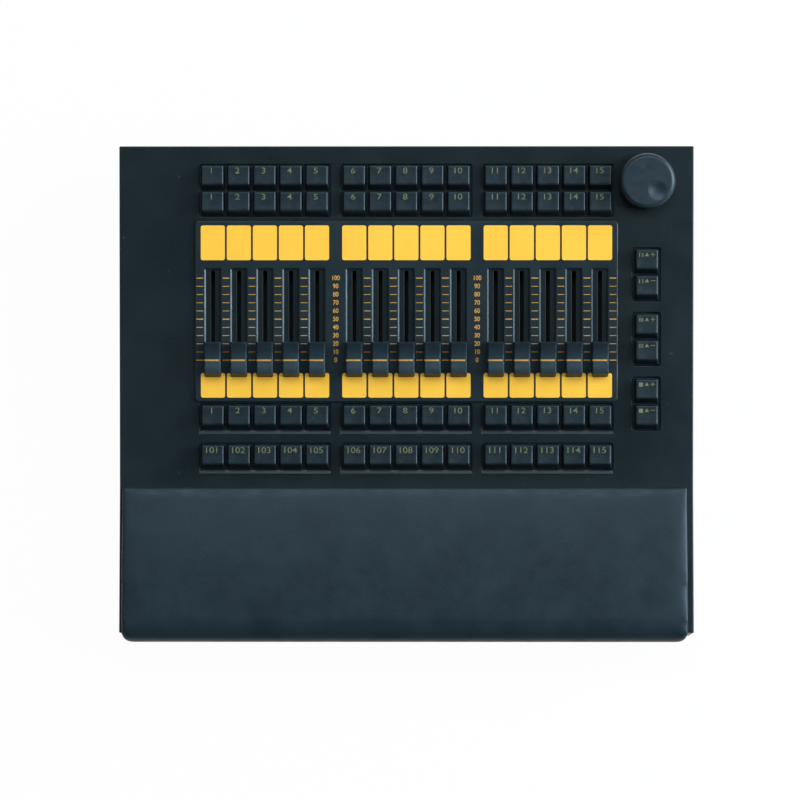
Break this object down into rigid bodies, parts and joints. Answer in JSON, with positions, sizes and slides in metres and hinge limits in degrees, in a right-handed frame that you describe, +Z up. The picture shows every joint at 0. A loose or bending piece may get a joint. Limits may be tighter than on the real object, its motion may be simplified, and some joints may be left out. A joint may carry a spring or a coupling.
{
  "type": "lighting fader wing",
  "caption": "Desktop lighting fader wing with a sloping panel of faders and numbered keys, an encoder wheel and a moulded wrist rest.",
  "frame": {"origin": "on the table under the middle of the whole wing, wrist rest included", "axes": "+X to the user's right, +Y from the user to the rear, +Z up"},
  "size_m": [0.42, 0.36, 0.1022],
  "materials": {
    "panel_paint": "satin powder coat, blue black",
    "case_paint": "satin powder coat, blue black",
    "overlay_film": "semi-gloss printed film",
    "wrist_rest_skin": "self-skinned soft foam, fine grain",
    "cap_plastic": "satin moulded",
    "key_plastic": "satin moulded",
    "wheel_plastic": "soft-touch moulded",
    "foot_rubber": "matt",
    "socket_plastic": "moulded",
    "plated_steel": "zinc plated",
    "board_laminate": "solder resist",
    "label_yellow": "printed writing fields",
    "print_amber": "printed scale and lines",
    "screw_steel": "black zinc"
  },
  "bodies": {
    "case": {"base_plate": "case_paint", "side_cheek_left": "case_paint", "side_cheek_right": "case_paint", "front_rail": "case_paint", "rear_plate": "case_paint", "control_panel": "panel_paint", "fader_overlay": "overlay_film", "wrist_rest": "wrist_rest_skin", "power_inlet": "socket_plastic", "usb_socket": "plated_steel", "dmx_socket_1": "socket_plastic", "dmx_socket_2": "socket_plastic", "power_supply": "plated_steel", "main_board": "board_laminate", "upper_key_board": "board_laminate", "lower_key_board": "board_laminate", "side_key_board": "board_laminate", "fader_frame_left": "plated_steel", "fader_frame_centre": "plated_steel", "fader_frame_right": "plated_steel", "encoder_body": "plated_steel", "foot_front_left": "foot_rubber", "foot_front_right": "foot_rubber", "foot_rear_left": "foot_rubber", "foot_rear_right": "foot_rubber"},
    "encoder_wheel": {"encoder_wheel": "wheel_plastic"},
    "power_rocker": {"power_rocker": "socket_plastic"},
    "fader_01": {"fader_01": "cap_plastic"},
    "fader_02": {"fader_02": "cap_plastic"},
    "fader_03": {"fader_03": "cap_plastic"},
    "fader_04": {"fader_04": "cap_plastic"},
    "fader_05": {"fader_05": "cap_plastic"},
    "fader_06": {"fader_06": "cap_plastic"},
    "fader_07": {"fader_07": "cap_plastic"},
    "fader_08": {"fader_08": "cap_plastic"},
    "fader_09": {"fader_09": "cap_plastic"},
    "fader_10": {"fader_10": "cap_plastic"},
    "fader_11": {"fader_11": "cap_plastic"},
    "fader_12": {"fader_12": "cap_plastic"},
    "fader_13": {"fader_13": "cap_plastic"},
    "fader_14": {"fader_14": "cap_plastic"},
    "fader_15": {"fader_15": "cap_plastic"},
    "side_key_1": {"side_key_1": "key_plastic"},
    "side_key_2": {"side_key_2": "key_plastic"},
    "side_key_3": {"side_key_3": "key_plastic"},
    "side_key_4": {"side_key_4": "key_plastic"},
    "side_key_5": {"side_key_5": "key_plastic"},
    "side_key_6": {"side_key_6": "key_plastic"},
    "keys_row_1_left": {"keys_row_1_left": "key_plastic"},
    "keys_row_1_centre": {"keys_row_1_centre": "key_plastic"},
    "keys_row_1_right": {"keys_row_1_right": "key_plastic"},
    "keys_row_2_left": {"keys_row_2_left": "key_plastic"},
    "keys_row_2_centre": {"keys_row_2_centre": "key_plastic"},
    "keys_row_2_right": {"keys_row_2_right": "key_plastic"},
    "keys_row_3_left": {"keys_row_3_left": "key_plastic"},
    "keys_row_3_centre": {"keys_row_3_centre": "key_plastic"},
    "keys_row_3_right": {"keys_row_3_right": "key_plastic"},
    "keys_row_4_left": {"keys_row_4_left": "key_plastic"},
    "keys_row_4_centre": {"keys_row_4_centre": "key_plastic"},
    "keys_row_4_right": {"keys_row_4_right": "key_plastic"}
  },
  "joints": [
    {"name": "encoder_turn", "type": "hinge", "parent": "case", "child": "encoder_wheel", "pos_m": [0.17552, 0.15417, 0.08437], "axis": [0, -0.1392, 0.9903], "continuous": true},
    {"name": "power_rocker_tilt", "type": "hinge", "parent": "case", "child": "power_rocker", "pos_m": [-0.16, 0.17281, 0.04628], "axis": [1, 0, 0], "range_deg": [0, 14]},
    {"name": "fader_01_slide", "type": "slide", "parent": "case", "child": "fader_01", "axis": [0, 0.9903, 0.1392], "range_m": [0, 0.06]},
    {"name": "fader_02_slide", "type": "slide", "parent": "case", "child": "fader_02", "axis": [0, 0.9903, 0.1392], "range_m": [0, 0.06]},
    {"name": "fader_03_slide", "type": "slide", "parent": "case", "child": "fader_03", "axis": [0, 0.9903, 0.1392], "range_m": [0, 0.06]},
    {"name": "fader_04_slide", "type": "slide", "parent": "case", "child": "fader_04", "axis": [0, 0.9903, 0.1392], "range_m": [0, 0.06]},
    {"name": "fader_05_slide", "type": "slide", "parent": "case", "child": "fader_05", "axis": [0, 0.9903, 0.1392], "range_m": [0, 0.06]},
    {"name": "fader_06_slide", "type": "slide", "parent": "case", "child": "fader_06", "axis": [0, 0.9903, 0.1392], "range_m": [0, 0.06]},
    {"name": "fader_07_slide", "type": "slide", "parent": "case", "child": "fader_07", "axis": [0, 0.9903, 0.1392], "range_m": [0, 0.06]},
    {"name": "fader_08_slide", "type": "slide", "parent": "case", "child": "fader_08", "axis": [0, 0.9903, 0.1392], "range_m": [0, 0.06]},
    {"name": "fader_09_slide", "type": "slide", "parent": "case", "child": "fader_09", "axis": [0, 0.9903, 0.1392], "range_m": [0, 0.06]},
    {"name": "fader_10_slide", "type": "slide", "parent": "case", "child": "fader_10", "axis": [0, 0.9903, 0.1392], "range_m": [0, 0.06]},
    {"name": "fader_11_slide", "type": "slide", "parent": "case", "child": "fader_11", "axis": [0, 0.9903, 0.1392], "range_m": [0, 0.06]},
    {"name": "fader_12_slide", "type": "slide", "parent": "case", "child": "fader_12", "axis": [0, 0.9903, 0.1392], "range_m": [0, 0.06]},
    {"name": "fader_13_slide", "type": "slide", "parent": "case", "child": "fader_13", "axis": [0, 0.9903, 0.1392], "range_m": [0, 0.06]},
    {"name": "fader_14_slide", "type": "slide", "parent": "case", "child": "fader_14", "axis": [0, 0.9903, 0.1392], "range_m": [0, 0.06]},
    {"name": "fader_15_slide", "type": "slide", "parent": "case", "child": "fader_15", "axis": [0, 0.9903, 0.1392], "range_m": [0, 0.06]},
    {"name": "side_key_1_press", "type": "slide", "parent": "case", "child": "side_key_1", "axis": [0, 0.1392, -0.9903], "range_m": [0, 0.0015], "stiffness_N_per_m": 150, "springref_m": -0.002},
    {"name": "side_key_2_press", "type": "slide", "parent": "case", "child": "side_key_2", "axis": [0, 0.1392, -0.9903], "range_m": [0, 0.0015], "stiffness_N_per_m": 150, "springref_m": -0.002},
    {"name": "side_key_3_press", "type": "slide", "parent": "case", "child": "side_key_3", "axis": [0, 0.1392, -0.9903], "range_m": [0, 0.0015], "stiffness_N_per_m": 150, "springref_m": -0.002},
    {"name": "side_key_4_press", "type": "slide", "parent": "case", "child": "side_key_4", "axis": [0, 0.1392, -0.9903], "range_m": [0, 0.0015], "stiffness_N_per_m": 150, "springref_m": -0.002},
    {"name": "side_key_5_press", "type": "slide", "parent": "case", "child": "side_key_5", "axis": [0, 0.1392, -0.9903], "range_m": [0, 0.0015], "stiffness_N_per_m": 150, "springref_m": -0.002},
    {"name": "side_key_6_press", "type": "slide", "parent": "case", "child": "side_key_6", "axis": [0, 0.1392, -0.9903], "range_m": [0, 0.0015], "stiffness_N_per_m": 150, "springref_m": -0.002},
    {"name": "keys_row_1_left_press", "type": "slide", "parent": "case", "child": "keys_row_1_left", "axis": [0, 0.1392, -0.9903], "range_m": [0, 0.0015], "stiffness_N_per_m": 300, "springref_m": -0.002},
    {"name": "keys_row_1_centre_press", "type": "slide", "parent": "case", "child": "keys_row_1_centre", "axis": [0, 0.1392, -0.9903], "range_m": [0, 0.0015], "stiffness_N_per_m": 300, "springref_m": -0.002},
    {"name": "keys_row_1_right_press", "type": "slide", "parent": "case", "child": "keys_row_1_right", "axis": [0, 0.1392, -0.9903], "range_m": [0, 0.0015], "stiffness_N_per_m": 300, "springref_m": -0.002},
    {"name": "keys_row_2_left_press", "type": "slide", "parent": "case", "child": "keys_row_2_left", "axis": [0, 0.1392, -0.9903], "range_m": [0, 0.0015], "stiffness_N_per_m": 300, "springref_m": -0.002},
    {"name": "keys_row_2_centre_press", "type": "slide", "parent": "case", "child": "keys_row_2_centre", "axis": [0, 0.1392, -0.9903], "range_m": [0, 0.0015], "stiffness_N_per_m": 300, "springref_m": -0.002},
    {"name": "keys_row_2_right_press", "type": "slide", "parent": "case", "child": "keys_row_2_right", "axis": [0, 0.1392, -0.9903], "range_m": [0, 0.0015], "stiffness_N_per_m": 300, "springref_m": -0.002},
    {"name": "keys_row_3_left_press", "type": "slide", "parent": "case", "child": "keys_row_3_left", "axis": [0, 0.1392, -0.9903], "range_m": [0, 0.0015], "stiffness_N_per_m": 300, "springref_m": -0.002},
    {"name": "keys_row_3_centre_press", "type": "slide", "parent": "case", "child": "keys_row_3_centre", "axis": [0, 0.1392, -0.9903], "range_m": [0, 0.0015], "stiffness_N_per_m": 300, "springref_m": -0.002},
    {"name": "keys_row_3_right_press", "type": "slide", "parent": "case", "child": "keys_row_3_right", "axis": [0, 0.1392, -0.9903], "range_m": [0, 0.0015], "stiffness_N_per_m": 300, "springref_m": -0.002},
    {"name": "keys_row_4_left_press", "type": "slide", "parent": "case", "child": "keys_row_4_left", "axis": [0, 0.1392, -0.9903], "range_m": [0, 0.0015], "stiffness_N_per_m": 300, "springref_m": -0.002},
    {"name": "keys_row_4_centre_press", "type": "slide", "parent": "case", "child": "keys_row_4_centre", "axis": [0, 0.1392, -0.9903], "range_m": [0, 0.0015], "stiffness_N_per_m": 300, "springref_m": -0.002},
    {"name": "keys_row_4_right_press", "type": "slide", "parent": "case", "child": "keys_row_4_right", "axis": [0, 0.1392, -0.9903], "range_m": [0, 0.0015], "stiffness_N_per_m": 300, "springref_m": -0.002}
  ]
}
